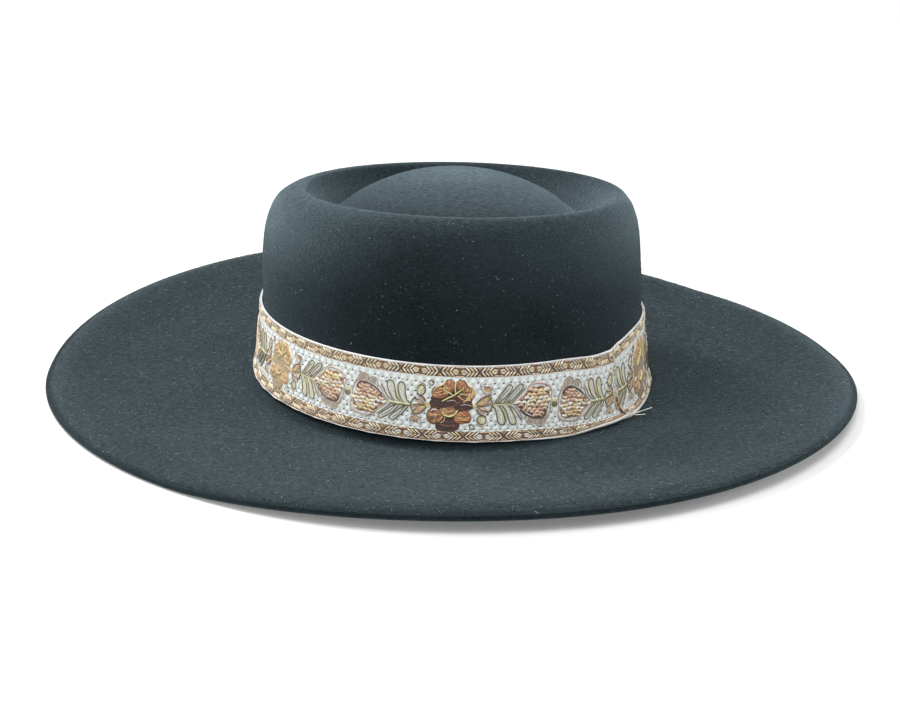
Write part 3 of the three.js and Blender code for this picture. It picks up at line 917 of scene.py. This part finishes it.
def chart(forms, lines, seed, knots=None, shining=()):
    rng = np.random.default_rng(seed)
    threads = Threads()
    for outline, turn, height, main, fleck, share in forms:
        outline = closed_curve(outline)
        fill_form(threads, outline, turn, height, (main, fleck, share), rng)
        if main in shining:
            glints(threads, outline, turn, height, rng)
    if knots:
        knot_rows(threads, knots, rng)
    for path, width, height, colour in lines:
        lay_line(threads, path, width, height, thread_colour(colour, rng.uniform(0.9, 1.1)))
    return threads


def stretched(u, repeat, new_repeat):
    """The place along the strip when the repeats behind the front one change their length."""
    return np.where(u < -REPEAT, -REPEAT + (u + REPEAT) * new_repeat / repeat, u)


# Painted sheen: the threads are mixed towards a pale gold round the sides, where the silk catches the light,
# and stay browner at the front: u and the share of painted sheen there
PAINTED_SHEEN_U = (-300, -150, -55, -35, -14, 25, 45, 70, 110, 200)
PAINTED_SHEEN_SHARES = (0.4, 0.62, 0.62, 0.25, 0.0, 0.0, 0.15, 0.45, 0.5, 0.4)


def threads_object(name, points, faces, colours):
    obj = new_object(name, points, faces.tolist(), THREADS)
    colour_points(obj, "thread", colours)
    return obj


def lay_copies(name, template, shifts, seed, sheen_strength=1.0, turns=(False,)):
    """One object of all a template's copies, each shifted along the strip, and turned half round or not."""
    points, faces, colours, owner, sheen_part = template.arrays()
    threads = len(template.parts)
    rng = np.random.default_rng(seed)
    sheen_gold = np.array(thread_colour(PAINTED_SHEEN_GOLD))
    copies = []
    count = 0
    for turned, shift in itertools.product(turns, shifts):
        u, v, height = points.T
        if turned:
            u, v = -u, 2 * MIDDLE - v
        sway = rng.uniform(0, 2 * math.pi, 4)
        u2 = stretched(u + shift, REPEAT, REPEAT_BEHIND)
        u2 = u2 + 0.12 * np.sin(v * 0.5 + sway[0]) + 0.08 * np.sin(u * 0.7 + sway[1])
        v2 = v + 0.1 * np.sin(u * 0.45 + sway[2]) + 0.06 * np.sin(v * 0.9 + sway[3])
        whole = np.ones(threads, bool)
        np.logical_and.at(whole, owner, u2 > LENGTHS[0] + 0.25)
        reached = np.zeros(threads, bool)
        np.logical_or.at(reached, owner, u2 < cut_end(v2) - 0.3)
        whole &= reached
        kept = whole[owner]
        if not kept.any():
            continue
        u2 = np.minimum(u2, cut_end(v2))
        number = np.cumsum(kept) - 1 + count
        # Painted sheen: each point is mixed towards pale gold by its place along the strip
        share = (np.interp(u2, PAINTED_SHEEN_U, PAINTED_SHEEN_SHARES) * sheen_strength * sheen_part)[:, None]
        tone = rng.uniform(0.88, 1.12, threads)[owner][:, None]
        toned = np.clip((colours * (1 - share) + sheen_gold * share) * tone, 0, 0.95)
        placed = on_ribbon(u2[kept], v2[kept], height[kept])
        copies.append((placed, number[faces[kept[faces[:, 0]]]], toned[kept]))
        count += int(kept.sum())
    return threads_object(name, *map(np.vstack, zip(*copies)))


def border_unit(centre, half, seed):
    """Two kernels with a dark dot between, and chevrons that point away from them to the crossings. The low
    dark strokes beside the light ones are partly brown outline, partly painted shadow.
    """
    rng = np.random.default_rng(seed)
    threads = Threads()
    span = BORDER_STEP / 2

    def stroke(x0, y0, x1, y1, width, height, colour):
        path = ((x0, centre + y0 * half), (x1, centre + y1 * half))
        lay_line(threads, path, width, height, thread_colour(colour, rng.uniform(0.85, 1.15)))

    for side in (-1, 1):
        for up in (-1, 1):
            stroke(side * 0.1, up * 0.95, side * 1.9, up * 0.95, 0.55, 0.3, KNOT_PINK)
            # A low dark stroke beside the pink one: partly brown outline, partly painted shadow
            stroke(side * 0.1, up * 0.62, side * 2.5, up * 0.66, 0.6, 0.12, DARK_BROWN)
            for k in range(3):
                tip = side * (4.3 + k * 1.55)
                foot = tip - side * half * 0.95
                stroke(foot, up, tip, up * 0.04, 0.66, 0.5, (CREAM, KNOT_GOLD, CREAM)[k])
                # A low dark copy beside each light chevron: partly brown outline, partly painted shadow
                outline_and_shadow_colour = (DARK_BROWN, BROWN)[k % 2]
                stroke(foot - side * 0.78, up, tip - side * 0.78, up * 0.04, 0.62, 0.1, outline_and_shadow_colour)
            stroke(side * (span - half * 0.9), up, side * span, 0, 0.6, 0.2, DARK_BROWN)
            stroke(side * (span - half * 0.4), up, side * span, up * 0.5, 0.5, 0.4, (GOLD, TAN)[up > 0])
        kernel = np.array([[0.3, 0], [1.2, 0.5], [2.1, 0.52], [3.4, 0], [2.1, -0.52], [1.2, -0.5]])
        kernel = kernel * (side, half) + (0, centre)
        fill_form(threads, kernel, 0, 0.6, (CREAM, KNOT_GOLD, 0.45), rng, pitch=0.5)
        stroke(side * 0.6, 0.12, side * 2.8, 0.1, 0.34, 0.62, BROWN)
    fill_form(threads, oval(0, centre, 0.6, 0.65), 90, 0.42, (DARK_BROWN, PLUM, 0.3), rng, pitch=0.4)
    return threads


def covered(u, v):
    """Whether a place in the repeat lies on a motif or close to one."""
    place = np.stack([u, v], -1)
    hit = np.zeros(len(u), bool)
    for turned in (False, True):
        p = np.array([0, 2 * MIDDLE]) - place if turned else place
        for form in FLOWER_PETALS[:1] + HALF_FORMS + DOT_FORMS:
            outline = np.asarray(form[0], float)
            hit |= inside(outline, p) | (to_outline(p, outline) < 0.7)
    return hit


def ground_dots():
    """Slate dots in staggered rows on the bare ground, with a slanting float of the weave beside each,
    darkened as painted shade.
    """
    rng = np.random.default_rng(5)
    u, v = [], []
    for row, height in enumerate(np.arange(DOT_FIRST, 26.2, DOT_ROW)):
        for along in np.arange(-REPEAT / 2, REPEAT / 2, DOT_STEP):
            u.append(along + (DOT_STEP / 2 if row % 2 else 0))
            v.append(height)
    u = np.array(u) + rng.uniform(-0.3, 0.3, len(u))
    v = np.array(v) + rng.uniform(-0.25, 0.25, len(v))
    free = ~covered(u, v)
    threads = Threads()
    for a, b in zip(u[free], v[free]):
        lay_line(threads, ((a - 0.5, b - 0.13), (a + 0.5, b + 0.13)), 0.62, 0.12,
                 thread_colour(SLATE, rng.uniform(0.75, 1.15)))
    # Floats in the ground's colour darkened: painted shade in the weave's relief
    beside = u + 0.5 * DOT_STEP
    free = ~covered(beside, v)
    for a, b in zip(beside[free], v[free]):
        lay_line(threads, ((a - 0.75, b - 0.4), (a + 0.75, b + 0.4)), 0.34, 0.1,
                 thread_colour(GROUND, rng.uniform(0.45, 0.8)))
    return threads


def selvedge(v, width, height):
    """The cord along an edge: short slanting threads side by side."""
    threads = Threads()
    for k, a in enumerate(np.arange(0, REPEAT, 0.65)):
        colour = thread_colour(WHITE_CORD, 1.2 if k % 2 else 0.85)
        path = ((a - 0.25, v - width * 0.4), (a + 0.8, v + width * 0.4))
        lay_line(threads, path, 0.6, height, colour)
    return threads


def frayed():
    """The raw cut: a brown torn edge low down, and short thread ends that stick out of it."""
    rng = np.random.default_rng(29)
    threads = Threads()
    torn = [(float(cut_end(v)) - 0.7, v) for v in (15, 12.5, 10, 8, 6, 4, 2)]
    lay_line(threads, torn, 1.9, 0.6, thread_colour(BROWN, 0.75))
    lay_line(threads, [(u - 1.2, v) for u, v in torn[:4]], 0.5, 0.42, thread_colour(GOLD))
    for v in np.arange(0.3, 30.6, 0.42):
        end = float(cut_end(v))
        reach = rng.uniform(0.2, 1.3) * (1.4 if v < 7 else 1)
        bends = (v + rng.uniform(-0.3, 0.3), v + rng.uniform(-0.9, 0.5))
        path = ((end - 1.0, v), (end + reach * 0.4, bends[0]), (end + reach, bends[1]))
        border = v < GROUND_BANDS[2][0] or v > GROUND_BANDS[3][0]
        colour = ((KNOT_GOLD, CREAM, BROWN) if border else (GROUND, CREAM, LEAF_GOLD))[int(rng.integers(3))]
        lay_line(threads, path, 0.32, 0.22, thread_colour(colour, rng.uniform(0.9, 1.15)), 0.5, 0.1)
    points, faces, colours, owner, sheen_part = threads.arrays()
    return threads_object("frayed_end", on_ribbon(*points.T), faces, colours)


# Loose ends at the cut's lower corner: steps in millimetres from the corner, to the right, back and up
LOOSE_ENDS = (
    ((-1.5, -0.1, 0.3), (2.4, -0.7, -0.1), (6.6, -0.8, 0.3)),
    ((2.6, -0.1, 0.6), (5.6, 0, 1.7), (9.2, 0.2, 3)),
    ((-0.8, -0.2, 0.8), (1.6, -0.6, 0.6), (3.8, -0.4, 1.1)),
    ((-0.6, -0.1, 1.8), (1.4, -0.5, 1.5), (3, -0.2, 2.2)),
    ((-0.9, -0.2, 2.6), (0.9, -0.5, 2.6), (2.1, -0.4, 3.3)),
)


def loose_ends():
    corner = on_ribbon(np.array([CUT_U[0]]), np.array([0.0]), np.array([0.0]))[0]
    points, faces, colours = [], [], []
    for ends in LOOSE_ENDS:
        path = smooth_path(np.array(ends) + corner, 0.5)
        ahead = unit(np.gradient(path, axis=0))
        side = unit(np.cross(ahead, [0, 0, 1.0]))
        up = np.cross(side, ahead)
        turn = np.linspace(0, 2 * math.pi, 6)
        half = np.where(np.arange(len(path)) < len(path) - 1, 0.21, 0.08)[:, None, None]
        ring = side[:, None] * np.cos(turn)[None, :, None] + up[:, None] * np.sin(turn)[None, :, None]
        faces.append(grid_faces(len(path), 6, False) + sum(len(p) for p in points))
        points.append((path[:, None] + ring * half).reshape(-1, 3))
        colours.append(np.tile(thread_colour(CREAM, 1.1), (len(points[-1]), 1)))
    return threads_object("loose_ends", np.vstack(points), np.vstack(faces), np.vstack(colours))


def embroidery():
    border = np.arange(-36, 7) * BORDER_STEP
    pieces = [
        lay_copies("flowers", chart(FLOWER_PETALS, FLOWER_LINES, 11, None, (COPPER, RUST)), CELLS, 21),
        lay_copies("sprays", chart(HALF_FORMS, HALF_LINES, 12, BUD_EDGE), CELLS, 22, 0.4, (False, True)),
        lay_copies("seeds", chart(DOT_FORMS, (), 13), CELLS, 23, 0.4),
        lay_copies("lower_border", border_unit(3.8, 2.4, 14), border - BORDER_STAGGER, 24),
        lay_copies("upper_border", border_unit(28.5, 1.85, 15), border + BORDER_STAGGER, 25),
        lay_copies("ground_dots", ground_dots(), CELLS, 26, 0),
        lay_copies("lower_selvedge", selvedge(0.25, 0.42, 0.2), EDGE_CELLS, 27, 0),
        lay_copies("upper_selvedge", selvedge(30.7, 0.6, 0.3), EDGE_CELLS, 28, 0),
        frayed(),
        loose_ends(),
    ]
    for piece in pieces:
        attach(piece, "root")
    return pieces


body = felt_body()
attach(body, "root")
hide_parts("crown_and_brim")

fibres("brim_nap", HAIR, 18000, (0.6, 2.2), (0.09, 0.16), (0.15, 0.55), 31, 0.05)
fibres("crown_nap", DARK_HAIR, 16000, (0.5, 1.6), (0.06, 0.11), (0.1, 0.35), 34)
fibres("lint_fibres", LINT, 700, (0.6, 2.4), (0.08, 0.14), (0.15, 0.4), 32, 0.12)
fibres("lint_specks", LINT, 5600, (0.15, 0.5), (0.12, 0.3), (0.08, 0.3), 33, 0.35)

ribbon = ribbon_body()
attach(ribbon, "root")
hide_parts("ribbon_band")
trim = embroidery()


# Camera, floor and lights

# The camera: its tilts in degrees, its distance in millimetres from the point that it looks at, and its focal
# length in pixels of the photograph
CAMERA_ELEVATION = 17.4368
CAMERA_ROLL = 1.2708
CAMERA_DISTANCE = 1450
CAMERA_TARGET = (-0.8656, -2.2, 8.788)
FOCAL_PIXELS = 3309.963
PHOTO_WIDTH = 900
SENSOR = 36

# place in metres, size, power
LIGHTS = {
    "key": ((-0.9, 0.5, 1.3), 0.5, 23),
    "side": ((1.5, -0.5, 0.75), 0.8, 9),
    "top": ((0.1, -0.7, 1.8), 1.3, 26),
    "fill": ((-1.5, -1.25, 0.75), 1.0, 17),
}
LIT_POINT = (0, 0, 0.05)

# height in the sky, brightness
SKY_TONES = ((0.0, 0.25), (0.5, 0.45), (1.0, 1.0))
SKY_STRENGTH = 0.5
FLOOR_HALF = 4000


def place_object(name, data, x_axis, y_axis, z_axis, place):
    obj = bpy.data.objects.new(name, data)
    matrix = np.eye(4)
    matrix[:3] = np.stack([x_axis, y_axis, z_axis, place], 1)
    obj.matrix_world = matrix.T.tolist()
    bpy.context.scene.collection.objects.link(obj)
    return obj


def place_camera():
    elevation = math.radians(CAMERA_ELEVATION)
    roll = math.radians(CAMERA_ROLL)
    back = np.array([0, -math.cos(elevation), math.sin(elevation)])
    right = np.array([1.0, 0, 0])
    up = np.cross(back, right)
    x_axis = right * math.cos(roll) + up * math.sin(roll)
    y_axis = up * math.cos(roll) - right * math.sin(roll)
    eye = (back * CAMERA_DISTANCE + np.array(CAMERA_TARGET)) * 0.001
    data = bpy.data.cameras.new("camera")
    data.sensor_width = SENSOR
    data.lens = FOCAL_PIXELS * SENSOR / PHOTO_WIDTH
    bpy.context.scene.camera = place_object("camera", data, x_axis, y_axis, back, eye)


def place_floor():
    material = shade("floor", lambda graph: {
        "Base Color": (0.7, 0.7, 0.7, 1),
        "Emission Color": (1, 1, 1, 1),
        "Emission Strength": 0.17,
        "Roughness": 0.9,
        "Specular IOR Level": 0.0,
    })
    corners = [(x * FLOOR_HALF, y * FLOOR_HALF, 0) for x, y in ((-1, -1), (1, -1), (1, 1), (-1, 1))]
    new_object("floor", corners, [(0, 1, 2, 3)], material, smooth=False)


def place_light(name, place, size, power):
    data = bpy.data.lights.new(name, "AREA")
    data.shape = "SQUARE"
    data.size = size
    data.energy = power
    z = unit(np.array(place) - np.array(LIT_POINT))
    x = unit(np.cross((0, 0, 1), z))
    place_object(name, data, x, np.cross(z, x), z, place)


def place_world():
    """A plain white studio, brightest overhead."""
    world = bpy.data.worlds.new("studio")
    world.use_nodes = True
    graph = Graph(world.node_tree)
    height = graph.add("SeparateXYZ", {"Vector": graph.add("TexCoord", output="Generated")}, "Z")
    tone = graph.ramp(height, [(position, (value,) * 3) for position, value in SKY_TONES])
    graph.set(world.node_tree.nodes["Background"], {"Color": tone, "Strength": SKY_STRENGTH})
    bpy.context.scene.world = world


place_camera()
place_floor()
place_world()
for light_name, light in LIGHTS.items():
    place_light(light_name, *light)
bpy.context.scene.view_settings.view_transform = "Standard"
